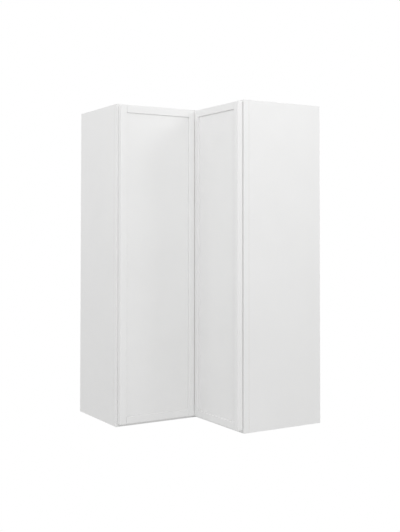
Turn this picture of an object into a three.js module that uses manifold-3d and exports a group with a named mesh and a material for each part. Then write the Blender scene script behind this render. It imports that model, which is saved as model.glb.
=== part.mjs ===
// Corner wall cabinet: an L-plan wall cabinet with a face frame, two slim shaker doors that meet
// in the inside corner and fold together, and three adjustable L-shaped shelves.
//
// Millimetres, +Z up. The origin is on the underside, below the inside corner of the case front.
// The left leg runs towards -Y and its front faces +X. The right leg runs towards +X and its
// front faces -Y. The two walls behind the cabinet are at -X and +Y.

import * as THREE from 'three';
import { mergeVertices } from 'three/addons/utils/BufferGeometryUtils.js';
import Module from 'manifold-3d';

const wasm = await Module();
wasm.setup();

// ---------------------------------------------------------------- driving dimensions

const caseHeight = 1067; // 42 in wall cabinet
const legWidth = 305; // from the inside corner to an end panel's outer face
const legDepth = 305; // from the case front to the wall

const seam = 0.2; // gap left at every glued or fitted joint

const plyThickness = 12.5; // end, top and bottom panels
const backThickness = 9.5;
const hangRailThickness = 12.5;
const hangRailHeight = 76;
const dadoDepth = 6; // groove in an end panel that holds the top, the bottom and a back

const frameThickness = 19;
const frameWidth = 38; // stiles and rails of the face frame
const frameArris = 0.8; // radius of the eased front edge at the cabinet's sides

const doorGap = 0.8; // between the case front and a closed door
const doorThickness = 19;
const doorFrameWidth = 23; // stiles and rails of a door
const doorRecess = 4.5; // how far a door's panel lies behind its frame
const tongueThickness = 6;
const tongueLength = 6.5;
const doorArris = 1.2; // radius of the eased edges on a door's frame
const sideReveal = 6; // strip of face frame left showing beside, above and below a door
const topReveal = 6;
const bottomReveal = 10;
const cornerGap = 1; // from the left door's front plane to the right door's inner edge
const cornerLap = 1; // how far the left door's inner edge lies past the right door's front plane

const shelfThickness = 19;
const shelfCount = 3;
const shelfSetback = 25; // from the case front to a shelf's front edge
const shelfClearance = 1.5; // to the end and back panels
const shelfCornerRadius = 20;

const pinHoleRadius = 2.6;
const pinHoleDepth = 8;
const pinClearance = 0.1;
const pinPitch = 50; // between the holes of a row
const pinRowStart = 170; // lowest hole above the underside
const pinRowInset = 38; // from a row of holes to the edge of the panel's inside
const pinTabThickness = 1.6;
const pinTabWidth = 12;
const pinTabReach = 11;
const pinPlateDrop = 9;

const cupRadius = 17.5;
const cupDepth = 10.5;
const cupWall = 1;
const cupInset = 5; // from a door's edge to the rim of the cup's bore
const boreClearance = 0.3;
const flangeThickness = 1;
const flangeWidth = 20;
const flangeLength = 62;
const flangeOffset = 6; // from the cup's axis to the screw plate's middle
const hingeCount = 3;
const hingeInset = 100; // from a door's end to the first and last hinge
const armPlateThickness = 1.5;
const armPlateLength = 50;
const armPlateWidth = 17;
const armThickness = 6.4;
const armClearance = 0.3; // between an arm and the rim of a cup
const armWidth = 13;
const noseThickness = 4;
const noseWidth = 9;
const noseReach = 5; // how far the nose of a frame hinge reaches into its cup
const foldPlateOffset = 18; // from the left door's inner edge to a folding hinge's plate
const foldPlateWidth = 40;
const foldPlateLength = 44;
const foldNoseOverhang = 24; // how far a folding hinge's nose reaches past that edge

const bumperRadius = 4.5;
const bumperInset = 9;
const bumperSeat = 1; // how deep a bumper sits in the door's back

// ---------------------------------------------------------------- dependent dimensions

const wallLeft = -legDepth;
const wallRight = legDepth;
const endLeft = -legWidth;
const endRight = legWidth;
const backOuter = hangRailThickness; // from a wall to a back panel
const backInner = backOuter + backThickness;
const insideLeft = wallLeft + backInner;
const insideRight = wallRight - backInner;
const insideEnd = legWidth - plyThickness; // from the origin to an end panel's inside
const bottomTop = frameWidth;
const bottomUnder = bottomTop - plyThickness;
const topUnder = caseHeight - frameWidth;
const topTop = topUnder + plyThickness;

const doorHeight = caseHeight - topReveal - bottomReveal;
const doorFront = doorGap + doorThickness;
const leftDoorWidth = legWidth - sideReveal - doorFront + cornerLap;
const rightDoorWidth = legWidth - sideReveal - doorFront - cornerGap;
const tongueBack = doorThickness - doorRecess - tongueThickness;
const tongueFront = doorThickness - doorRecess;
const cupFromEdge = cupInset + cupRadius;
const rimRadius = cupRadius + 2 * cupWall;
const boreRadius = cupRadius + boreClearance;
const boreDepth = cupDepth + boreClearance;

const hingeHeights = evenly(hingeCount, hingeInset, doorHeight - hingeInset);
const bumperHeights = [bumperInset, doorHeight - bumperInset];
const shelfLevels = shelfPinLevels();

// ---------------------------------------------------------------- materials

const paint = () => new THREE.MeshStandardMaterial({ color: 0xebebea, roughness: 0.42, metalness: 0 });
const ply = () => new THREE.MeshStandardMaterial({ color: 0xd9c09a, roughness: 0.5, metalness: 0 });
const nickel = () => new THREE.MeshStandardMaterial({ color: 0xb9babb, roughness: 0.3, metalness: 1 });
const silicone = () => new THREE.MeshStandardMaterial({ color: 0xdedede, roughness: 0.35, metalness: 0 });

// ---------------------------------------------------------------- helpers

function evenly(count, first, last) {
  const step = count > 1 ? (last - first) / (count - 1) : 0;
  return Array.from({ length: count }, (_, i) => first + i * step);
}

function nearestHole(height) {
  const step = Math.round((height - pinRowStart) / pinPitch);
  return pinRowStart + step * pinPitch;
}

// The hole heights that carry the shelves and share the inside height out evenly.
function shelfPinLevels() {
  const spaces = shelfCount + 1;
  const clear = (topUnder - bottomTop - shelfCount * shelfThickness) / spaces;
  const levels = [];
  for (let i = 0; i < shelfCount; i += 1) {
    levels.push(nearestHole(bottomTop + (i + 1) * clear + i * shelfThickness));
  }
  return levels;
}

function pinHoleHeights() {
  const rowEnd = topUnder - (pinRowStart - bottomTop);
  const count = Math.floor((rowEnd - pinRowStart) / pinPitch) + 1;
  return Array.from({ length: count }, (_, i) => pinRowStart + i * pinPitch);
}

// Corners of the triangles that keep three different corners once shared points are merged.
// A revolved outline has flat ones on its axis.
function properTriangles(index) {
  const kept = [];
  for (let i = 0; i < index.length; i += 3) {
    const [a, b, c] = index.slice(i, i + 3);
    if (a !== b && b !== c && c !== a) kept.push(a, b, c);
  }
  return new Uint32Array(kept);
}

function solid(geometry) {
  const bare = geometry.clone();
  bare.deleteAttribute('normal');
  bare.deleteAttribute('uv');
  const merged = mergeVertices(bare, 1e-4);
  const mesh = new wasm.Mesh({
    numProp: 3,
    vertProperties: new Float32Array(merged.attributes.position.array),
    triVerts: properTriangles(merged.index.array),
  });
  return new wasm.Manifold(mesh);
}

function geometryOf(body) {
  const mesh = body.getMesh();
  const geometry = new THREE.BufferGeometry();
  geometry.setAttribute('position', new THREE.BufferAttribute(mesh.vertProperties, 3));
  geometry.setIndex(new THREE.BufferAttribute(mesh.triVerts, 1));
  geometry.computeVertexNormals();
  return geometry;
}

function cut(body, ...tools) {
  return tools.reduce((rest, tool) => rest.subtract(tool), body);
}

function join(...bodies) {
  return bodies.reduce((sum, body) => sum.add(body));
}

// A box between two corners.
function block([x0, y0, z0], [x1, y1, z1]) {
  const geometry = new THREE.BoxGeometry(x1 - x0, y1 - y0, z1 - z0);
  geometry.translate((x0 + x1) / 2, (y0 + y1) / 2, (z0 + z1) / 2);
  return geometry;
}

// An outline in X and Y, raised from one height to another.
function raised(shape, z0, z1, curveSegments = 6) {
  const geometry = new THREE.ExtrudeGeometry(shape, { depth: z1 - z0, bevelEnabled: false, curveSegments });
  geometry.translate(0, 0, z0);
  return geometry;
}

// A round bar along an axis, from the point start.
function bar(axis, radius, length, [x, y, z], segments = 12) {
  const geometry = new THREE.CylinderGeometry(radius, radius, length, segments);
  geometry.translate(0, length / 2, 0);
  if (axis === 'x') geometry.rotateZ(-Math.PI / 2);
  if (axis === 'z') geometry.rotateX(Math.PI / 2);
  geometry.translate(x, y, z);
  return geometry;
}

function piece(name, geometry, material) {
  const mesh = new THREE.Mesh(geometry, material);
  mesh.name = name;
  return mesh;
}

// ---------------------------------------------------------------- case panels

// The slots of an end panel, drawn for the right end, whose inside faces -X.
function endPanelSlots() {
  const x0 = insideEnd - 1;
  const x1 = insideEnd + dadoDepth + seam;
  const back = wallRight - backInner;
  return [
    block([x0, 0, bottomUnder - seam], [x1, back, bottomTop + seam]),
    block([x0, 0, topUnder - seam], [x1, back, topTop + seam]),
    block([x0, back - seam, bottomUnder - seam], [x1, back + backThickness + seam, topTop + seam]),
  ];
}

function pinRows() {
  return [frameThickness + pinRowInset, insideRight - pinRowInset];
}

function endPanelHoles() {
  const start = insideEnd - 1;
  return pinRows().flatMap((y) => pinHoleHeights().map(
    (z) => solid(bar('x', pinHoleRadius, pinHoleDepth + 1, [start, y, z], 8)),
  ));
}

function endPanel() {
  const panel = solid(block([insideEnd, frameThickness + seam, 0], [endRight, wallRight, caseHeight]));
  const slots = endPanelSlots().map(solid);
  return cut(panel, ...slots, ...endPanelHoles());
}

// The same shape for the other end: a mirror image in the upright plane through the inside
// corner that halves the plan, with its triangles turned to face out again.
function mirrored(geometry) {
  const image = geometry.clone();
  image.applyMatrix4(new THREE.Matrix4().set(0, -1, 0, 0, -1, 0, 0, 0, 0, 0, 1, 0, 0, 0, 0, 1));
  const corners = image.index.array;
  for (let i = 0; i < corners.length; i += 3) {
    [corners[i], corners[i + 1]] = [corners[i + 1], corners[i]];
  }
  image.computeVertexNormals();
  return image;
}

// L-shaped outline behind the face frame, from the inside corner out to both ends and both backs.
function legsOutline(front, end, back, cornerRadius = 0) {
  const shape = new THREE.Shape();
  shape.moveTo(-front, -end);
  if (cornerRadius > 0) {
    shape.lineTo(-front, front - cornerRadius);
    shape.absarc(-front + cornerRadius, front - cornerRadius, cornerRadius, Math.PI, Math.PI / 2, true);
  } else {
    shape.lineTo(-front, front);
  }
  shape.lineTo(end, front);
  shape.lineTo(end, back);
  shape.lineTo(-back, back);
  shape.lineTo(-back, -end);
  shape.closePath();
  return shape;
}

function levelPanel(z0, z1) {
  const outline = legsOutline(frameThickness + seam, insideEnd + dadoDepth, insideRight - seam);
  return raised(outline, z0, z1);
}

function backPanelLeft() {
  const low = [wallLeft + backOuter, -insideEnd - dadoDepth, bottomUnder];
  const high = [insideLeft, wallRight - backOuter, topTop];
  const holes = pinHoleHeights().map((z) => solid(
    bar('x', pinHoleRadius, pinHoleDepth + 1, [insideLeft - pinHoleDepth, insideRight - pinRowInset, z], 8),
  ));
  return cut(solid(block(low, high)), ...holes);
}

function backPanelRight() {
  const low = [insideLeft + seam, insideRight, bottomUnder];
  return block(low, [insideEnd + dadoDepth, wallRight - backOuter, topTop]);
}

function hangRailLeft(z0) {
  const low = [wallLeft, -insideEnd + seam, z0];
  return block(low, [wallLeft + hangRailThickness - seam, wallRight, z0 + hangRailHeight]);
}

function hangRailRight(z0) {
  const low = [wallLeft + hangRailThickness, wallRight - hangRailThickness + seam, z0];
  return block(low, [insideEnd - seam, wallRight, z0 + hangRailHeight]);
}

function casePanels() {
  const group = new THREE.Group();
  const upper = caseHeight - hangRailHeight;
  group.add(
    piece('end_panel_right', geometryOf(endPanel()), paint()),
    piece('end_panel_left', mirrored(geometryOf(endPanel())), paint()),
    piece('top_panel', levelPanel(topUnder, topTop), ply()),
    piece('bottom_panel', levelPanel(bottomUnder, bottomTop), ply()),
    piece('back_panel_left', geometryOf(backPanelLeft()), ply()),
    piece('back_panel_right', backPanelRight(), ply()),
    piece('hanging_rail_left_top', hangRailLeft(upper), ply()),
    piece('hanging_rail_left_bottom', hangRailLeft(0), ply()),
    piece('hanging_rail_right_top', hangRailRight(upper), ply()),
    piece('hanging_rail_right_bottom', hangRailRight(0), ply()),
  );
  return group;
}

// ---------------------------------------------------------------- face frame

// The right outer stile, with an eased edge where its front meets the cabinet's side.
function frameStile() {
  const inner = endRight - frameWidth;
  const r = frameArris;
  const shape = new THREE.Shape();
  shape.moveTo(inner, 0);
  shape.lineTo(endRight - r, 0);
  shape.absarc(endRight - r, r, r, -Math.PI / 2, 0, false);
  shape.lineTo(endRight, frameThickness);
  shape.lineTo(inner, frameThickness);
  shape.closePath();
  return geometryOf(solid(raised(shape, 0, caseHeight, 3)));
}

// The right rail passes the inside corner; the left rail butts against it.
function frameRailRight(z0) {
  const end = endRight - frameWidth - seam;
  return block([-frameThickness, 0, z0], [end, frameThickness, z0 + frameWidth]);
}

function frameRailLeft(z0) {
  const end = endLeft + frameWidth + seam;
  return block([-frameThickness, end, z0], [0, -seam, z0 + frameWidth]);
}

function faceFrame() {
  const group = new THREE.Group();
  group.add(
    piece('frame_stile_right', frameStile(), paint()),
    piece('frame_stile_left', mirrored(frameStile()), paint()),
    piece('frame_top_rail_right', frameRailRight(topUnder), paint()),
    piece('frame_top_rail_left', frameRailLeft(topUnder), paint()),
    piece('frame_bottom_rail_right', frameRailRight(0), paint()),
    piece('frame_bottom_rail_left', frameRailLeft(0), paint()),
  );
  return group;
}

// ---------------------------------------------------------------- shelves and their supports

function shelf() {
  const outline = legsOutline(
    shelfSetback,
    insideEnd - shelfClearance,
    insideRight - shelfClearance,
    shelfCornerRadius,
  );
  return raised(outline, 0, shelfThickness);
}

// A shelf support: a peg in the panel, a small plate against it and a tab under the shelf.
// The peg lies on the X axis and the panel's face is at x = 0.
function shelfSupport() {
  const radius = pinHoleRadius - pinClearance;
  const peg = bar('x', radius, pinHoleDepth + seam, [seam - pinHoleDepth, 0, 0], 8);
  const plateFront = seam + pinTabThickness;
  const half = pinTabWidth / 2;
  const plate = block([seam, -half, -pinPlateDrop], [plateFront, half, radius]);
  const tab = block([seam, -half, radius - pinTabThickness], [pinTabReach, half, radius]);
  return geometryOf(join(solid(peg), solid(plate), solid(tab)));
}

function supportPlaces() {
  const [front, rear] = pinRows();
  return [
    { name: 'right_front', x: insideEnd, y: front, turn: Math.PI },
    { name: 'right_rear', x: insideEnd, y: rear, turn: Math.PI },
    { name: 'left_front', x: -front, y: -insideEnd, turn: Math.PI / 2 },
    { name: 'left_rear', x: -rear, y: -insideEnd, turn: Math.PI / 2 },
    { name: 'corner', x: insideLeft, y: insideRight - pinRowInset, turn: 0 },
  ];
}

function shelfWithSupports(level, number) {
  const group = new THREE.Group();
  const board = piece(`shelf_${number}`, shelf(), ply());
  board.position.z = level + pinHoleRadius - pinClearance + seam;
  group.add(board);
  for (const place of supportPlaces()) {
    const support = piece(`shelf_${number}_support_${place.name}`, shelfSupport(), nickel());
    support.position.set(place.x, place.y, level);
    support.rotation.z = place.turn;
    group.add(support);
  }
  return group;
}

// ---------------------------------------------------------------- doors
//
// A door's own frame: X from its inner edge (left door) or its outer edge (right door) to the
// edge that carries the hinge cups, Y from its back to its front, Z up from its lower end.

// Section of a door stile or rail: width along X from the outside edge to the panel, thickness
// along Y, with the groove that holds the panel's tongue. Its front edges and its outside back
// edge are eased.
function doorFrameSection() {
  const w = doorFrameWidth;
  const t = doorThickness;
  const r = doorArris;
  const grooveFloor = w - tongueLength - seam;
  const shape = new THREE.Shape();
  shape.moveTo(r, 0);
  shape.lineTo(w, 0);
  shape.lineTo(w, tongueBack - seam);
  shape.lineTo(grooveFloor, tongueBack - seam);
  shape.lineTo(grooveFloor, tongueFront + seam);
  shape.lineTo(w, tongueFront + seam);
  shape.lineTo(w, t - r);
  shape.absarc(w - r, t - r, r, 0, Math.PI / 2, false);
  shape.lineTo(r, t);
  shape.absarc(r, t - r, r, Math.PI / 2, Math.PI, false);
  shape.lineTo(0, r);
  shape.absarc(r, r, r, Math.PI, 1.5 * Math.PI, false);
  shape.closePath();
  return shape;
}

function doorStile() {
  return raised(doorFrameSection(), 0, doorHeight, 3);
}

// A stile turned end for end, so that its groove faces the other way.
function farStile(width) {
  const geometry = doorStile();
  geometry.rotateY(Math.PI);
  geometry.translate(width, 0, doorHeight);
  return geometry;
}

// The lower rail, with a stub tenon at each end in the stiles' grooves.
function doorRail(width) {
  const start = doorFrameWidth + seam;
  const end = width - start;
  const section = raised(doorFrameSection(), 0, end - start, 3);
  section.rotateY(-Math.PI / 2);
  section.translate(end, 0, 0);
  const tenonTop = doorFrameWidth - tongueLength - seam;
  const tip = doorFrameWidth - tongueLength;
  const tenonNear = block([tip, tongueBack, 0], [start + tongueLength, tongueFront, tenonTop]);
  const tenonFar = block([end - tongueLength, tongueBack, 0], [width - tip, tongueFront, tenonTop]);
  return geometryOf(join(solid(section), solid(tenonNear), solid(tenonFar)));
}

function topRail(width) {
  const geometry = doorRail(width);
  geometry.rotateY(Math.PI);
  geometry.translate(width, 0, doorHeight);
  return geometry;
}

// The room for a hinge cup in a door's back: a blind hole, and round it the shallow recess that
// the cup's rim and screw plate lie in.
function cupSeat(x, z) {
  const depth = flangeThickness + seam + 1;
  const bore = solid(bar('y', boreRadius, boreDepth + 1, [0, -1, 0], 24));
  const rim = solid(bar('y', rimRadius + boreClearance, depth, [0, -1, 0], 24));
  const plate = solid(screwPlate(boreClearance, -1, depth - 1));
  return join(bore, rim, plate).translate([x, 0, z]);
}

function cupSeats(width) {
  return hingeHeights.map((z) => cupSeat(width - cupFromEdge, z));
}

function boredStile(width) {
  return geometryOf(cut(solid(farStile(width)), ...cupSeats(width)));
}

// The stile that carries the bumpers, each in a shallow hole.
function bumperStile() {
  const radius = bumperRadius + boreClearance;
  const seats = bumperHeights.map((z) => solid(
    bar('y', radius, bumperSeat + seam + 1, [bumperInset, -1, z], 16),
  ));
  return geometryOf(cut(solid(doorStile()), ...seats));
}

// The flat panel, flush with the frame's back, with a tongue all round its front.
function doorPanel(width) {
  const near = doorFrameWidth + seam;
  const tip = doorFrameWidth - tongueLength;
  const field = block([near, 0, near], [width - near, tongueFront, doorHeight - near]);
  const tongue = block([tip, tongueBack, tip], [width - tip, tongueFront, doorHeight - tip]);
  return geometryOf(cut(join(solid(field), solid(tongue)), ...cupSeats(width)));
}

function doorLeaf(side, width, nearStile, farEdge) {
  const group = new THREE.Group();
  group.add(
    nearStile,
    piece(`${side}_door_${farEdge}_stile`, boredStile(width), paint()),
    piece(`${side}_door_bottom_rail`, doorRail(width), paint()),
    piece(`${side}_door_top_rail`, topRail(width), paint()),
    piece(`${side}_door_panel`, doorPanel(width), paint()),
  );
  return group;
}

// ---------------------------------------------------------------- hinges

// The cup in a door's back, with its rim and the screw plate beside it, both flush with the back.
// The cup's axis is Y and the door's back is at y = 0.
function hingeCup() {
  const inner = cupRadius - cupWall;
  const profile = [
    [0, cupDepth - cupWall],
    [inner, cupDepth - cupWall],
    [inner, 0],
    [rimRadius, 0],
    [rimRadius, flangeThickness],
    [cupRadius, flangeThickness],
    [cupRadius, cupDepth],
    [0, cupDepth],
  ].map(([r, y]) => new THREE.Vector2(r, y));
  const cup = solid(new THREE.LatheGeometry(profile, 24));
  const mouth = bar('y', cupRadius, 3 * flangeThickness, [0, -flangeThickness, 0], 24);
  const plate = solid(screwPlate(0, 0, flangeThickness));
  return geometryOf(join(cup, cut(plate, solid(mouth))));
}

// A plate with round ends beside the cup, long along Z, from one Y level to another. Its outline
// is larger all round by the given margin.
function screwPlate(margin, y0, y1) {
  const half = flangeWidth / 2 + margin;
  const run = (flangeLength - flangeWidth) / 2;
  const shape = new THREE.Shape();
  shape.absarc(-flangeOffset, run, half, 0, Math.PI, false);
  shape.absarc(-flangeOffset, -run, half, Math.PI, 2 * Math.PI, false);
  shape.closePath();
  const plate = raised(shape, -y1, -y0, 8);
  plate.rotateX(Math.PI / 2);
  return plate;
}

// A bar with eased ends between two X stations and two Y levels, centred on z = 0.
function easedBar(x0, x1, y0, y1, width, ease) {
  const shape = new THREE.Shape();
  shape.moveTo(x0 + ease, y0);
  shape.lineTo(x1 - ease, y0);
  shape.lineTo(x1, y0 + ease);
  shape.lineTo(x1, y1 - ease);
  shape.lineTo(x1 - ease, y1);
  shape.lineTo(x0 + ease, y1);
  shape.lineTo(x0, y1 - ease);
  shape.lineTo(x0, y0 + ease);
  shape.closePath();
  return raised(shape, -width / 2, width / 2);
}

// The arm of a hinge on the face frame. X points out of the case front, which is at x = 0, and
// the stile's inner edge is at y = 0. The nose reaches into the mouth of the cup.
function frameHingeArm() {
  const plateTop = seam + armPlateThickness;
  const neck = doorGap - armClearance;
  const half = armPlateLength / 2;
  const plate = block([-armPlateWidth - armClearance, seam, -half], [-armClearance, plateTop, half]);
  const arm = easedBar(-frameThickness + 1, neck, seam, seam + armThickness, armWidth, 1);
  const noseTip = doorGap + noseReach;
  const nose = easedBar(-frameThickness / 2, noseTip, 2 * seam, 2 * seam + noseThickness, noseWidth, 0.8);
  return geometryOf(join(solid(plate), solid(arm), solid(nose)));
}

// The arm of a folding hinge on the left door's back, in that door's frame. Its nose overhangs
// the door's inner edge and lies over the right door's cup when the two doors are in one plane.
function foldHingeArm() {
  const start = foldPlateOffset;
  const end = foldPlateOffset + foldPlateWidth;
  const half = foldPlateLength / 2;
  const plate = block([start, -seam - armPlateThickness, -half], [end, -seam, half]);
  const arm = easedBar(0, end - 2, -seam - armThickness, -seam, armWidth, 1);
  const low = -armClearance - noseThickness;
  const nose = easedBar(-foldNoseOverhang, start, low, -armClearance, noseWidth, 0.8);
  return geometryOf(join(solid(plate), solid(arm), solid(nose)));
}

function hingeCups(name, width) {
  const group = new THREE.Group();
  hingeHeights.forEach((z, i) => {
    const cup = piece(`${name}_cup_${i + 1}`, hingeCup(), nickel());
    cup.position.set(width - cupFromEdge, 0, z);
    group.add(cup);
  });
  return group;
}

function foldHingeArms() {
  const group = new THREE.Group();
  hingeHeights.forEach((z, i) => {
    const arm = piece(`fold_hinge_arm_${i + 1}`, foldHingeArm(), nickel());
    arm.position.z = z;
    group.add(arm);
  });
  return group;
}

function frameHingeArms() {
  const group = new THREE.Group();
  hingeHeights.forEach((z, i) => {
    const arm = piece(`frame_hinge_arm_${i + 1}`, frameHingeArm(), nickel());
    arm.position.set(0, endLeft + frameWidth, bottomReveal + z);
    group.add(arm);
  });
  return group;
}

// ---------------------------------------------------------------- bumpers

// Soft discs in the right door's back, near its outer edge, that meet the face frame.
function bumpers() {
  const group = new THREE.Group();
  const proud = doorGap - seam;
  bumperHeights.forEach((z, i) => {
    const pad = bar('y', bumperRadius, proud + bumperSeat, [bumperInset, -proud, z], 16);
    group.add(piece(`door_bumper_${i === 0 ? 'bottom' : 'top'}`, pad, silicone()));
  });
  return group;
}

// ---------------------------------------------------------------- assembly

// The left door's frame has its origin at the door's inner edge, the right door's at its outer
// edge, so both carry their hinge cups at the far end of X.
function leftDoor() {
  const group = new THREE.Group();
  const nearStile = piece('left_door_inner_stile', doorStile(), paint());
  const leaf = doorLeaf('left', leftDoorWidth, nearStile, 'outer');
  group.add(leaf, hingeCups('frame_hinge', leftDoorWidth), foldHingeArms());
  group.position.set(doorGap, -doorFront + cornerLap, bottomReveal);
  group.rotation.z = -Math.PI / 2;
  return group;
}

function rightDoor() {
  const group = new THREE.Group();
  const nearStile = piece('right_door_outer_stile', bumperStile(), paint());
  const leaf = doorLeaf('right', rightDoorWidth, nearStile, 'inner');
  group.add(leaf, hingeCups('fold_hinge', rightDoorWidth), bumpers());
  group.position.set(endRight - sideReveal, -doorGap, bottomReveal);
  group.rotation.z = Math.PI;
  return group;
}

function shelves() {
  const group = new THREE.Group();
  shelfLevels.forEach((level, i) => group.add(shelfWithSupports(level, i + 1)));
  return group;
}

function cabinet() {
  const group = new THREE.Group();
  group.add(casePanels(), faceFrame(), shelves(), frameHingeArms(), leftDoor(), rightDoor());
  return group;
}

export default cabinet();
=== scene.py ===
"""A corner wall cabinet in a soft white studio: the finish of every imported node, the small
hardware that rides on them, the lamps and the camera. Metres, +Z up, in the frame of the part."""

import math
import random

import bmesh
import bpy
from mathutils import Matrix, Vector

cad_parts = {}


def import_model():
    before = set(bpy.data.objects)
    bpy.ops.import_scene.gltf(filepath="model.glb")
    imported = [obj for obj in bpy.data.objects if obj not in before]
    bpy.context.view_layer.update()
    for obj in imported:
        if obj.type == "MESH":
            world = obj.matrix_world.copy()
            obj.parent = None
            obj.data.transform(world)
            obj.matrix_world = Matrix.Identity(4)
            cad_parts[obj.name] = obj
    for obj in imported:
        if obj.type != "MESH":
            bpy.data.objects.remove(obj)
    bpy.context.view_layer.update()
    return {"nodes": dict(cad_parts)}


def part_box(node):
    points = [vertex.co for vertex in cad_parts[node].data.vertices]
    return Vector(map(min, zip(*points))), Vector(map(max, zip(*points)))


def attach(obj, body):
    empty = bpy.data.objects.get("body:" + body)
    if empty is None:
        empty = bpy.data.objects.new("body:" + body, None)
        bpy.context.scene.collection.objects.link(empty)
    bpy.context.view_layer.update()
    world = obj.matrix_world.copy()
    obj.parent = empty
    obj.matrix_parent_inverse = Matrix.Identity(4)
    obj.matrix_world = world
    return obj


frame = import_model()
nodes = frame["nodes"]

MM = 0.001
AXES = "xyz"
X = Vector((1, 0, 0))
Y = Vector((0, 1, 0))
LOW, HIGH = 0, 1  # the two corners of a box

# ---------------------------------------------------------------- node trees

# where ShaderNodeMix keeps its factor, its two values and its result
MIX_SOCKETS = {"FLOAT": (0, 2, 3, 0), "RGBA": (0, 6, 7, 2)}
NOISE_RANGE = (0.3, 0.7)  # between these lie most values of a noise


class Tree:
    """A node tree, with short calls for the nodes that the finishes and the studio use."""

    def __init__(self, tree):
        self.tree = tree

    def feed(self, socket, value):
        """Links a socket to an output, or sets its value."""
        if isinstance(value, bpy.types.NodeSocket):
            self.tree.links.new(value, socket)
        else:
            socket.default_value = value

    def add(self, kind, inputs=None, **settings):
        """Adds a node. The keys of inputs are the names or the numbers of its sockets."""
        node = self.tree.nodes.new(kind)
        for name, value in settings.items():
            setattr(node, name, value)
        for name, value in (inputs or {}).items():
            self.feed(node.inputs[name], value)
        return node

    def math(self, operation, a, b=0.0):
        return self.add("ShaderNodeMath", {0: a, 1: b}, operation=operation).outputs[0]

    def noise(self, place, scale, detail, roughness=0.5, distortion=0.0):
        inputs = {"Vector": place, "Scale": scale, "Detail": detail}
        inputs.update({"Roughness": roughness, "Distortion": distortion})
        return self.add("ShaderNodeTexNoise", inputs).outputs["Fac"]

    def spread(self, value, low, high, source=NOISE_RANGE):
        """value's range, source, laid over the range from low to high."""
        inputs = {"Value": value, "From Min": source[0], "From Max": source[1]}
        inputs.update({"To Min": low, "To Max": high})
        return self.add("ShaderNodeMapRange", inputs).outputs["Result"]

    def mix(self, factor, a, b, data_type="RGBA"):
        node = self.add("ShaderNodeMix", data_type=data_type)
        *sockets, result = MIX_SOCKETS[data_type]
        for socket, value in zip(sockets, (factor, a, b)):
            self.feed(node.inputs[socket], value)
        return node.outputs[result]

    def mix_number(self, factor, a, b):
        return self.mix(factor, a, b, "FLOAT")

    def part(self, vector, axis):
        """One coordinate of a vector."""
        split = self.add("ShaderNodeSeparateXYZ", {0: vector})
        return split.outputs[AXES.index(axis)]


class Shader(Tree):
    """The node tree of a new material."""

    def __init__(self, name):
        self.material = bpy.data.materials.new(name)
        self.material.use_nodes = True
        super().__init__(self.material.node_tree)
        self.tree.nodes.clear()
        coordinates = self.add("ShaderNodeTexCoord").outputs
        self.place = coordinates["Object"]
        self.normal = coordinates["Normal"]

    def stretched(self, factors, offset=(0.0, 0.0, 0.0)):
        """The place on the piece, scaled along each axis, so that a texture is drawn out."""
        moved = self.add("ShaderNodeVectorMath", {0: self.place, 1: offset}, operation="ADD")
        scaled = {0: moved.outputs[0], 1: factors}
        return self.add("ShaderNodeVectorMath", scaled, operation="MULTIPLY").outputs[0]

    def output(self, surface):
        self.add("ShaderNodeOutputMaterial", {"Surface": surface.outputs[0]})
        return self.material

    def finish(self, colour, roughness, height, relief, constants=None):
        """Ends the tree with a solid surface. constants holds what is the same all over it."""
        strength, distance = relief
        inputs = {"Height": height, "Strength": strength, "Distance": distance}
        normal = self.add("ShaderNodeBump", inputs).outputs["Normal"]
        inputs = {"Base Color": colour, "Roughness": roughness, "Normal": normal}
        inputs.update(constants or {})
        return self.output(self.add("ShaderNodeBsdfPrincipled", inputs))


# ---------------------------------------------------------------- finishes

# A noise is (scale in features per metre, detail), and after these its roughness and distortion
# where they aren't plain. A relief is (strength, height) of a surface's small bumps.

PAINT_LIGHT = (0.845, 0.845, 0.842, 1)
PAINT_SHADE = (0.825, 0.825, 0.822, 1)
PAINT_CLOUDS = (5.0, 3.0)
PAINT_MOTTLE = (60.0, 3.0)
PAINT_PEEL = (700.0, 2.0)
PAINT_ROUGHNESS = (0.36, 0.46)
PAINT_RELIEF = (0.12, 0.04 * MM)

MAPLE_LIGHT = (0.80, 0.645, 0.44, 1)
MAPLE_MID = (0.71, 0.54, 0.34, 1)
MAPLE_DARK = (0.56, 0.39, 0.225, 1)
MAPLE_FIGURE = (17.0, 3.0, 0.55, 0.8)
MAPLE_STREAKS = (150.0, 4.0, 0.6)
MAPLE_PORES = (1100.0, 2.0)
MAPLE_STRETCH = 0.05  # scale along the grain against the scale across it
MAPLE_ROUGHNESS = (0.30, 0.42)
MAPLE_RELIEF = (0.15, 0.05 * MM)
STREAK_DARKNESS = 0.45
PORE_DARKNESS = 0.22
PORE_RANGE = (0.3, 0.5)  # of the pores' noise, from a dark pore to plain wood
SHEET_STEP = (1.7, 2.3, 3.1)  # from the veneer of one panel to that of the next

PLY_LIGHT = (0.66, 0.49, 0.30, 1)
PLY_DARK = (0.36, 0.23, 0.125, 1)
PLY_FIBRES = (420.0, 3.0, 0.6)
PLY_ROUGHNESS = 0.6
PLY_SHEET = 1.8 * MM  # thickness of one veneer in a plywood panel
ALONG_DARKNESS = (0.5, 0.0)  # of the veneers that run along an edge, from fibre to fibre
ACROSS_DARKNESS = (1.0, 0.35)  # of the veneers whose fibres end in it
FACING = 0.7  # least share of a normal along an axis where the surface faces that way

NICKEL = (0.66, 0.645, 0.62, 1)
NICKEL_DULL = (0.55, 0.54, 0.52, 1)
NICKEL_CLOUDS = (90.0, 3.0)
NICKEL_LINES = (2600.0, 2.0)
NICKEL_STRETCH = (1.0, 1.0, 0.15)
NICKEL_ROUGHNESS = (0.22, 0.36)
NICKEL_RELIEF = (0.1, 0.02 * MM)

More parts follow.
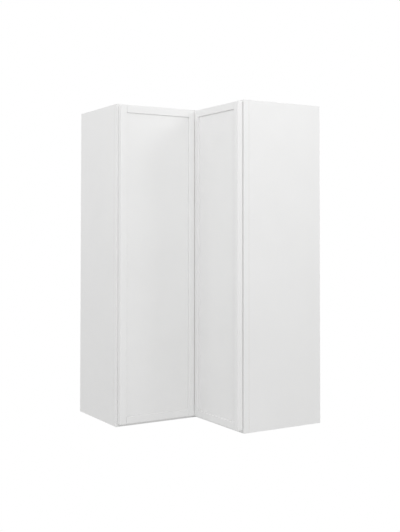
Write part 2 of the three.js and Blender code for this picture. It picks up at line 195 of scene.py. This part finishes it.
SILICONE = (0.78, 0.79, 0.80, 1)
SILICONE_DUSTY = (0.70, 0.71, 0.71, 1)
SILICONE_CLOUDS = (400.0, 3.0)
SILICONE_ROUGHNESS = (0.28, 0.4)
SILICONE_RELIEF = (0.1, 0.05 * MM)
SILICONE_GLOW = {"Subsurface Weight": 0.15, "Subsurface Radius": (2 * MM, 2 * MM, 2 * MM)}


def paint_layers(shader):
    """Colour, roughness and surface height of sprayed satin paint."""
    cloud = shader.noise(shader.place, *PAINT_CLOUDS)
    colour = shader.mix(shader.spread(cloud, 0.0, 1.0), PAINT_SHADE, PAINT_LIGHT)
    mottle = shader.noise(shader.place, *PAINT_MOTTLE)
    peel = shader.noise(shader.place, *PAINT_PEEL)
    return colour, shader.spread(mottle, *PAINT_ROUGHNESS), peel


def paint():
    shader = Shader("white_paint")
    return shader.finish(*paint_layers(shader), PAINT_RELIEF)


def maple_layers(shader, grain, seed):
    """Colour, roughness and surface height of clear-coated maple veneer, grain along an axis."""
    factors = [MAPLE_STRETCH if axis == grain else 1.0 for axis in AXES]
    place = shader.stretched(factors, [seed * step for step in SHEET_STEP])
    figure = shader.noise(place, *MAPLE_FIGURE)
    streaks = shader.noise(place, *MAPLE_STREAKS)
    pores = shader.noise(place, *MAPLE_PORES)
    tone = shader.mix(shader.spread(figure, 0.0, 1.0), MAPLE_MID, MAPLE_LIGHT)
    tone = shader.mix(shader.spread(streaks, STREAK_DARKNESS, 0.0), tone, MAPLE_DARK)
    tone = shader.mix(shader.spread(pores, PORE_DARKNESS, 0.0, PORE_RANGE), tone, MAPLE_DARK)
    return tone, shader.spread(streaks, *MAPLE_ROUGHNESS), pores


def ply_edge_colour(shader, axis, start):
    """The glued veneers that show on a plywood panel's edge, counted from the face at start."""
    depth = shader.math("SUBTRACT", shader.part(shader.place, axis), start)
    turn = shader.math("FLOORED_MODULO", shader.math("DIVIDE", depth, 2 * PLY_SHEET), 1.0)
    crosswise = shader.math("GREATER_THAN", turn, 0.5)
    fibres = shader.noise(shader.place, *PLY_FIBRES)
    along = shader.mix(shader.spread(fibres, *ALONG_DARKNESS), PLY_LIGHT, PLY_DARK)
    across = shader.mix(shader.spread(fibres, *ACROSS_DARKNESS), PLY_LIGHT, PLY_DARK)
    return shader.mix(crosswise, along, across)


def on_edge(shader, axis):
    """1 where the surface faces across the panel's thickness axis, and 0 on its two faces."""
    facing = shader.math("ABSOLUTE", shader.part(shader.normal, axis))
    return shader.math("LESS_THAN", facing, FACING)


def plywood(node, grain, thickness_axis, seed, painted_side=0):
    """A plywood panel's finish. painted_side is +1 or -1 where the face on that side of the
    thickness axis is painted."""
    shader = Shader("plywood_" + node)
    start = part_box(node)[LOW][AXES.index(thickness_axis)]
    colour, roughness, height = maple_layers(shader, grain, seed)
    edge = on_edge(shader, thickness_axis)
    colour = shader.mix(edge, colour, ply_edge_colour(shader, thickness_axis, start))
    roughness = shader.mix_number(edge, roughness, PLY_ROUGHNESS)
    if painted_side:
        paint_colour, paint_roughness, peel = paint_layers(shader)
        facing = shader.math("MULTIPLY", shader.part(shader.normal, thickness_axis), painted_side)
        outside = shader.math("GREATER_THAN", facing, FACING)
        colour = shader.mix(outside, colour, paint_colour)
        roughness = shader.mix_number(outside, roughness, paint_roughness)
        height = shader.mix_number(outside, height, peel)
    return shader.finish(colour, roughness, height, MAPLE_RELIEF)


def solid_maple(node, grain, seed):
    """A panel with veneered edges: maple on every side."""
    shader = Shader("maple_" + node)
    return shader.finish(*maple_layers(shader, grain, seed), MAPLE_RELIEF)


def nickel():
    shader = Shader("nickel")
    cloud = shader.noise(shader.place, *NICKEL_CLOUDS)
    lines = shader.noise(shader.stretched(NICKEL_STRETCH), *NICKEL_LINES)
    colour = shader.mix(shader.spread(cloud, 0.0, 1.0), NICKEL_DULL, NICKEL)
    roughness = shader.spread(lines, *NICKEL_ROUGHNESS)
    return shader.finish(colour, roughness, lines, NICKEL_RELIEF, {"Metallic": 1.0})


def silicone():
    shader = Shader("silicone")
    cloud = shader.noise(shader.place, *SILICONE_CLOUDS)
    colour = shader.mix(shader.spread(cloud, 0.0, 1.0), SILICONE_DUSTY, SILICONE)
    roughness = shader.spread(cloud, *SILICONE_ROUGHNESS)
    return shader.finish(colour, roughness, cloud, SILICONE_RELIEF, SILICONE_GLOW)


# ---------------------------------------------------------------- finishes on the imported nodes

WHITE = paint()
METAL = nickel()
RUBBER = silicone()

# node: (grain, thickness axis, painted side)
PLYWOOD_PANELS = {
    "end_panel_right": ("z", "x", 1),
    "end_panel_left": ("z", "y", -1),
    "top_panel": ("x", "z", 0),
    "bottom_panel": ("x", "z", 0),
    "back_panel_left": ("z", "x", 0),
    "back_panel_right": ("z", "y", 0),
    "hanging_rail_left_top": ("y", "x", 0),
    "hanging_rail_left_bottom": ("y", "x", 0),
    "hanging_rail_right_top": ("x", "y", 0),
    "hanging_rail_right_bottom": ("x", "y", 0),
}
SHELVES = ("shelf_1", "shelf_2", "shelf_3")

# word in a node's name: width of the rounding on its sharp edges
SOFT_EDGES = {
    "hinge_arm": 0.3 * MM,
    "hinge_cup": 0.2 * MM,
    "support": 0.2 * MM,
    "hanging_rail": 0.5 * MM,
}
SHELF_EDGE = 0.9 * MM
SOFT_EDGE_STEPS = 2
SOFT_EDGE_ANGLE = 50  # degrees between two faces whose edge is rounded, at least


def finish_of(name, seed):
    if name in PLYWOOD_PANELS:
        grain, axis, side = PLYWOOD_PANELS[name]
        return plywood(name, grain, axis, seed, side)
    if name in SHELVES:
        return solid_maple(name, "x", seed)
    if "bumper" in name:
        return RUBBER
    if "hinge" in name or "support" in name:
        return METAL
    return WHITE


def soften(name, node):
    """Rounds a node's sharp edges slightly, so that they catch the light."""
    widths = [width for word, width in SOFT_EDGES.items() if word in name]
    if name in SHELVES:
        widths = [SHELF_EDGE]
    for width in widths:
        bevel = node.modifiers.new("eased", "BEVEL")
        bevel.width = width
        bevel.segments = SOFT_EDGE_STEPS
        bevel.limit_method = "ANGLE"
        bevel.angle_limit = math.radians(SOFT_EDGE_ANGLE)


def dress_nodes():
    for seed, (name, node) in enumerate(sorted(nodes.items())):
        node.data.materials.clear()
        node.data.materials.append(finish_of(name, seed))
        soften(name, node)


dress_nodes()

# ---------------------------------------------------------------- hardware

HINGES = (1, 2, 3)
RING_POINTS = 24
SMOOTH_BELOW = 40  # degrees between two faces that are shaded as one surface

# (radius, height) of a head
PAN_HEAD = (3.4 * MM, 1.5 * MM)
FLUSH_HEAD = (3.5 * MM, 0.5 * MM)
SMALL_HEAD = (2.7 * MM, 0.9 * MM)
RAIL_HEAD = (4.2 * MM, 0.3 * MM)
HEAD_SINK = 0.2 * MM  # how far a head reaches into what carries it
# (share of the radius, share of the height) of the rings from the rim to the flat of a head
HEAD_RINGS = ((1.0, 0.3), (0.94, 0.7), (0.8, 0.93), (0.66, 1.0))
CROSS_REACH = 0.56  # of a head's radius, like the width and the depth
CROSS_WIDTH = 0.13
CROSS_DEPTH = 0.45
CROSS_FLOOR = 0.5  # size of the recess's floor against its mouth
CROSS_REST = 0.05 * MM  # least height of the recess's floor above the seat

CUP_SCREW_OFFSET = 6 * MM  # from a cup's axis to the middle of its screw plate
CUP_SCREW_HEIGHT = 24.5 * MM  # above and below the cup's axis
PLATE_THICKNESS = 1.5 * MM
FRAME_SCREW_INSET = 8.8 * MM  # behind the case front, like the adjusters
FRAME_SCREW_HEIGHT = 16 * MM  # above and below the arm's middle
FRAME_ADJUSTERS = (5.5 * MM, 12.5 * MM)
FOLD_SCREW_ROWS = (10 * MM, 30 * MM)  # from the arm's far end, like the adjusters
FOLD_SCREW_HEIGHT = 14.5 * MM
FOLD_ADJUSTERS = (14 * MM, 27 * MM)

RAIL_SCREW_SPACING = 140 * MM  # at about this distance
RAIL_SCREW_INSET = 30 * MM

PIN_RADIUS = 1.4 * MM
PIN_LENGTH = 14.6 * MM
PIN_CHAMFER = 0.35 * MM
# (from the cup's axis towards the arm, depth under the door's back) of each pin
CUP_PINS = ((8.0 * MM, 7.4 * MM), (2.0 * MM, 5.2 * MM))
# outline of the two cheeks that hold a cup's pins, in the same terms and in millimetres
CHEEK = ((-1.5, 3.4), (4.0, 3.0), (9.0, 4.6), (10.6, 6.4), (10.6, 9.7), (-2.6, 9.7), (-2.6, 4.6))
CHEEK_SIDES = (6.0 * MM, 7.0 * MM)  # above and below the cup's axis
SPRING_RADIUS = 2.1 * MM
SPRING_WIRE = 0.4 * MM
SPRING_TURNS = 6
SPRING_PITCH = 1.0 * MM
SPRING_STEPS = 16  # points on one turn
WIRE_POINTS = 8
FIRST_SIDE = (0.36, 0.48, 0.8)  # a direction along which no bar starts


def ring(radius, height, points=RING_POINTS):
    turns = [2 * math.pi * index / points for index in range(points)]
    return [Vector((radius * math.cos(a), radius * math.sin(a), height)) for a in turns]


def cross(reach, width, height):
    """The outline of a cross recess."""
    points = []
    for quarter in range(4):
        turn = Matrix.Rotation(quarter * math.pi / 2, 3, "Z")
        corners = ((reach, -width), (reach, width), (width, width))
        points += [turn @ Vector((x, y, height)) for x, y in corners]
    return points


def loop(body, matrix, points):
    return [body.verts.new(matrix @ point) for point in points]


def walls(body, lower, upper):
    """Joins two loops of the same number of points."""
    for index in range(len(lower)):
        after = (index + 1) % len(lower)
        body.faces.new((lower[index], lower[after], upper[after], upper[index]))


def edges_of(body, points):
    edges = []
    for index, point in enumerate(points):
        after = points[(index + 1) % len(points)]
        edges.append(body.edges.get((point, after)) or body.edges.new((point, after)))
    return edges


def screw_head(body, place, outward, size, turn):
    """Adds a closed screw head with a cross recess, its seat at place."""
    radius, height = size
    facing = Vector(outward).to_track_quat("Z", "Y").to_matrix().to_4x4()
    matrix = Matrix.Translation(place) @ facing @ Matrix.Rotation(turn, 4, "Z")
    loops = [loop(body, matrix, ring(radius, -HEAD_SINK))]
    for share, rise in HEAD_RINGS:
        loops.append(loop(body, matrix, ring(radius * share, height * rise)))
    body.faces.new(loops[0])
    for lower, upper in zip(loops, loops[1:]):
        walls(body, lower, upper)
    reach, width = radius * CROSS_REACH, radius * CROSS_WIDTH
    mouth = loop(body, matrix, cross(reach, width, height))
    edges = edges_of(body, loops[-1]) + edges_of(body, mouth)
    bmesh.ops.triangle_fill(body, use_beauty=True, edges=edges)
    rest = max(height - radius * CROSS_DEPTH, CROSS_REST)
    bottom = loop(body, matrix, cross(reach * CROSS_FLOOR, width * CROSS_FLOOR, rest))
    walls(body, mouth, bottom)
    body.faces.new(bottom)


def tube(body, path, radii, points=RING_POINTS):
    """Adds a closed round bar along a path, with its radius at each point of the path."""
    loops = []
    side = Vector(FIRST_SIDE)
    last = len(path) - 1
    for index, (point, radius) in enumerate(zip(path, radii)):
        along = (path[min(index + 1, last)] - path[max(index - 1, 0)]).normalized()
        side = (side - along * side.dot(along)).normalized()
        matrix = Matrix((side, along.cross(side), along)).transposed().to_4x4()
        matrix.translation = point
        loops.append(loop(body, matrix, ring(radius, 0, points)))
    for lower, upper in zip(loops, loops[1:]):
        walls(body, lower, upper)
    body.faces.new(loops[0])
    body.faces.new(loops[-1])


def pin(body, middle):
    half = PIN_LENGTH / 2
    heights = (-half, PIN_CHAMFER - half, half - PIN_CHAMFER, half)
    path = [middle + Vector((0, 0, height)) for height in heights]
    thin = PIN_RADIUS - PIN_CHAMFER
    tube(body, path, (thin, PIN_RADIUS, PIN_RADIUS, thin))


def spring(body, middle):
    """A coil round a pin."""
    path = []
    for step in range(SPRING_TURNS * SPRING_STEPS + 1):
        turn = step / SPRING_STEPS
        angle = turn * 2 * math.pi
        height = (turn - SPRING_TURNS / 2) * SPRING_PITCH
        out = Vector((math.cos(angle), math.sin(angle), 0)) * SPRING_RADIUS
        path.append(middle + out + Vector((0, 0, height)))
    tube(body, path, [SPRING_WIRE] * len(path), WIRE_POINTS)


def cheeks(body, place, towards_arm, inward):
    """The two small plates that stand on a cup's floor and hold its pins."""
    outline = [place + (towards_arm * aside + inward * depth) * MM for aside, depth in CHEEK]
    for side in (1, -1):
        near, far = (Vector((0, 0, side * height)) for height in CHEEK_SIDES)
        loops = [[body.verts.new(point + rise) for point in outline] for rise in (near, far)]
        walls(body, *loops)
        body.faces.new(loops[0])
        body.faces.new(loops[1])


def metal_piece(name, rides_on, body):
    """Makes an object of nickel-plated steel from a mesh being edited."""
    bmesh.ops.recalc_face_normals(body, faces=body.faces)
    mesh = bpy.data.meshes.new(name)
    body.to_mesh(mesh)
    body.free()
    mesh.materials.append(METAL)
    mesh.shade_smooth()
    mesh.set_sharp_from_angle(angle=math.radians(SMOOTH_BELOW))
    holder = bpy.data.objects.new(name, mesh)
    bpy.context.scene.collection.objects.link(holder)
    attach(holder, rides_on)


def middle_of(node):
    low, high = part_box(node)
    return (Vector(low) + Vector(high)) / 2


def hinge_nodes(kind):
    return [f"{kind}_{hinge}" for hinge in HINGES]


def cup_places(kind, axis, side):
    """Middle of each cup of a kind, moved along an axis into the plane of the door's back."""
    places = []
    for node in hinge_nodes(kind):
        place = middle_of(node)
        place[AXES.index(axis)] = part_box(node)[side][AXES.index(axis)]
        places.append(place)
    return places


def cup_screws(places, aside):
    """Places of the two screws beside each cup."""
    rises = (Vector((0, 0, CUP_SCREW_HEIGHT)), Vector((0, 0, -CUP_SCREW_HEIGHT)))
    return [place + aside * CUP_SCREW_OFFSET + rise for place in places for rise in rises]


def frame_arm_screws():
    places = []
    for node in hinge_nodes("frame_hinge_arm"):
        middle = middle_of(node)
        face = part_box(node)[LOW][1] + PLATE_THICKNESS
        for rise in (-FRAME_SCREW_HEIGHT, FRAME_SCREW_HEIGHT):
            places.append(Vector((-FRAME_SCREW_INSET, face, middle.z + rise)))
    return places


def frame_arm_adjusters():
    places = []
    for node in hinge_nodes("frame_hinge_arm"):
        middle = middle_of(node)
        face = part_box(node)[HIGH][1]
        places += [Vector((-inset, face, middle.z)) for inset in FRAME_ADJUSTERS]
    return places


def fold_arm_screws():
    places = []
    for node in hinge_nodes("fold_hinge_arm"):
        middle = middle_of(node)
        low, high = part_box(node)
        face = high[0] - PLATE_THICKNESS
        for row in FOLD_SCREW_ROWS:
            for rise in (-FOLD_SCREW_HEIGHT, FOLD_SCREW_HEIGHT):
                places.append(Vector((face, low[1] + row, middle.z + rise)))
    return places


def fold_arm_adjusters():
    places = []
    for node in hinge_nodes("fold_hinge_arm"):
        middle = middle_of(node)
        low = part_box(node)[LOW]
        places += [Vector((low[0], low[1] + row, middle.z)) for row in FOLD_ADJUSTERS]
    return places


def rail_screws(side):
    """Places of the screws that go through a wall side's hanging rails into the edges of the top
    and bottom panels."""
    along = 1 if side == "left" else 0
    places = []
    for end, panel in (("top", "top_panel"), ("bottom", "bottom_panel")):
        low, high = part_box(f"hanging_rail_{side}_{end}")
        height = middle_of(panel).z
        outer = low[0] if side == "left" else high[1]
        length = high[along] - low[along] - 2 * RAIL_SCREW_INSET
        spaces = round(length / RAIL_SCREW_SPACING)
        for index in range(spaces + 1):
            place = Vector((outer, outer, height))
            place[along] = low[along] + RAIL_SCREW_INSET + length * index / spaces
            places.append(place)
    return places


def screws(name, rides_on, places, outward, size, seed):
    """One piece with a screw head at each place, each turned by chance."""
    chance = random.Random(seed)
    body = bmesh.new()
    for place in places:
        screw_head(body, place, outward, size, chance.uniform(0, math.pi))
    metal_piece(name, rides_on, body)


def cup_works(name, rides_on, places, towards_arm, inward):
    """The two pins of each cup with the cheeks that hold them, and the spring round one."""
    body = bmesh.new()
    for place in places:
        pins = [place + towards_arm * aside + inward * depth for aside, depth in CUP_PINS]
        cheeks(body, place, towards_arm, inward)
        for middle in pins:
            pin(body, middle)
        spring(body, pins[1])
    metal_piece(name, rides_on, body)


def hardware():
    left_cups = cup_places("frame_hinge_cup", "x", LOW)
    right_cups = cup_places("fold_hinge_cup", "y", HIGH)
    screws("cup_screws_left_door", "left_door", cup_screws(left_cups, Y), -X, FLUSH_HEAD, 1)
    screws("cup_screws_right_door", "right_door", cup_screws(right_cups, X), Y, FLUSH_HEAD, 2)
    screws("frame_arm_screws", "case", frame_arm_screws(), Y, PAN_HEAD, 3)
    screws("frame_arm_adjusters", "case", frame_arm_adjusters(), Y, SMALL_HEAD, 4)
    screws("fold_arm_screws", "left_door", fold_arm_screws(), -X, PAN_HEAD, 5)
    screws("fold_arm_adjusters", "left_door", fold_arm_adjusters(), -X, SMALL_HEAD, 6)
    screws("rail_screws_left", "case", rail_screws("left"), -X, RAIL_HEAD, 7)
    screws("rail_screws_right", "case", rail_screws("right"), Y, RAIL_HEAD, 8)
    cup_works("cup_works_left_door", "left_door", left_cups, Y, X)
    cup_works("cup_works_right_door", "right_door", right_cups, -X, -Y)


hardware()

# ---------------------------------------------------------------- studio

FLOOR_DROP = 1.37  # from the cabinet's underside down to a kitchen floor
FLOOR_RADIUS = 14.0
FLOOR_POINTS = 64
FLOOR_LIGHT = (0.81, 0.81, 0.81, 1)
FLOOR_SHADE = (0.79, 0.79, 0.79, 1)
FLOOR_CLOUDS = (3.0, 3.0)
FLOOR_SHADOW_EDGE = (1.3, 2.7)  # the floor fades to plain white between these distances
FLOOR_LIFT = 0.3  # light that the floor near the cabinet gives by itself, where it is seen
WORLD_LIGHT = 0.645

CABINET_MIDDLE = Vector((0.0, 0.0, 0.55))
# name: (place, width and height, power in watts)
LAMPS = {
    "front_right": ((3.1, -0.9, 1.5), 0.8, 13.9),
    "front_left_high": ((0.7, -3.0, 2.4), 1.6, 14.3),
    "right_far_side": ((1.9, 1.2, 1.9), 0.8, 8.5),
    "left_far_side": ((-0.3, -2.0, 2.0), 0.8, 6.5),
    "near_right_top": ((1.75, -0.35, 1.85), 0.7, 4.1),
    "near_front_top": ((1.45, -0.85, 1.85), 0.7, 1.15),
}

IMAGE_SIZE = (400, 532)
FOCAL_PIXELS = 880.7
PRINCIPAL_POINT = (232.9, 210.2)  # where the camera's axis meets the picture
CAMERA_PLACE = (2.6713, -1.5279, 0.6408)
CAMERA_HEADING = 147.87  # degrees from +X towards +Y
CAMERA_PITCH = 1.43  # degrees upwards
SENSOR_WIDTH = 36.0  # millimetres, as a lens's length


def seen_directly(tree):
    """1 for what the camera sees, straight or in a shiny or clear surface, and 0 for light."""
    path = tree.add("ShaderNodeLightPath").outputs
    shiny = tree.math("MAXIMUM", path["Is Glossy Ray"], path["Is Transmission Ray"])
    return tree.math("MAXIMUM", path["Is Camera Ray"], shiny)


def floor_material():
    """Pale floor that keeps a shadow near the cabinet and is plain white far from it. Its
    underside can be seen through."""
    shader = Shader("studio_floor")
    seen = seen_directly(shader)
    mottle = shader.noise(shader.place, *FLOOR_CLOUDS)
    colour = shader.mix(shader.spread(mottle, 0.0, 1.0), FLOOR_SHADE, FLOOR_LIGHT)
    lit = shader.add("ShaderNodeBsdfDiffuse", {"Color": colour})
    strength = shader.math("MULTIPLY", seen, FLOOR_LIFT)
    lift = shader.add("ShaderNodeEmission", {"Strength": strength})
    near = shader.add("ShaderNodeAddShader", {0: lit.outputs[0], 1: lift.outputs[0]})
    white = shader.add("ShaderNodeEmission", {"Strength": 1.0})
    reach = shader.add("ShaderNodeVectorMath", {0: shader.place}, operation="LENGTH")
    fade = shader.spread(reach.outputs["Value"], 0.0, 1.0, FLOOR_SHADOW_EDGE)
    far = {0: shader.math("MULTIPLY", seen, fade), 1: near.outputs[0], 2: white.outputs[0]}
    above = shader.add("ShaderNodeMixShader", far)
    clear = shader.add("ShaderNodeBsdfTransparent")
    below = shader.add("ShaderNodeNewGeometry").outputs["Backfacing"]
    sides = {0: below, 1: above.outputs[0], 2: clear.outputs[0]}
    return shader.output(shader.add("ShaderNodeMixShader", sides))


def floor():
    mesh = bpy.data.meshes.new("studio_floor")
    disc = bmesh.new()
    bmesh.ops.create_circle(disc, cap_ends=True, radius=FLOOR_RADIUS, segments=FLOOR_POINTS)
    disc.to_mesh(mesh)
    disc.free()
    mesh.materials.append(floor_material())
    plate = bpy.data.objects.new("studio_floor", mesh)
    plate.location = (0, 0, -FLOOR_DROP)
    bpy.context.scene.collection.objects.link(plate)


def world():
    """An even light from all sides, which the camera sees as plain white."""
    studio = bpy.data.worlds.new("studio")
    studio.use_nodes = True
    tree = Tree(studio.node_tree)
    background = tree.tree.nodes["Background"].inputs
    strength = tree.spread(seen_directly(tree), WORLD_LIGHT, 1.0, (0.0, 1.0))
    tree.feed(background["Strength"], strength)
    tree.feed(background["Color"], (1, 1, 1, 1))
    bpy.context.scene.world = studio


def lamp(name, place, size, power):
    light = bpy.data.lights.new(name, "AREA")
    light.size = size
    light.energy = power
    holder = bpy.data.objects.new(name, light)
    holder.location = place
    holder.rotation_mode = "QUATERNION"
    holder.rotation_quaternion = (CABINET_MIDDLE - Vector(place)).to_track_quat("-Z", "Y")
    holder.visible_glossy = False
    holder.visible_camera = False
    bpy.context.scene.collection.objects.link(holder)


def camera():
    data = bpy.data.cameras.new("camera")
    long_side = max(IMAGE_SIZE)
    data.sensor_width = SENSOR_WIDTH
    data.lens = FOCAL_PIXELS / long_side * SENSOR_WIDTH
    data.shift_x = (IMAGE_SIZE[0] / 2 - PRINCIPAL_POINT[0]) / long_side
    data.shift_y = (PRINCIPAL_POINT[1] - IMAGE_SIZE[1] / 2) / long_side
    holder = bpy.data.objects.new("camera", data)
    holder.location = CAMERA_PLACE
    tilt = math.radians(90 + CAMERA_PITCH)
    turn = math.radians(CAMERA_HEADING - 90)
    holder.rotation_euler = (tilt, 0, turn)
    bpy.context.scene.collection.objects.link(holder)
    bpy.context.scene.camera = holder


floor()
world()
for lamp_name, settings in LAMPS.items():
    lamp(lamp_name, *settings)
camera()
bpy.context.scene.view_settings.view_transform = "Standard"
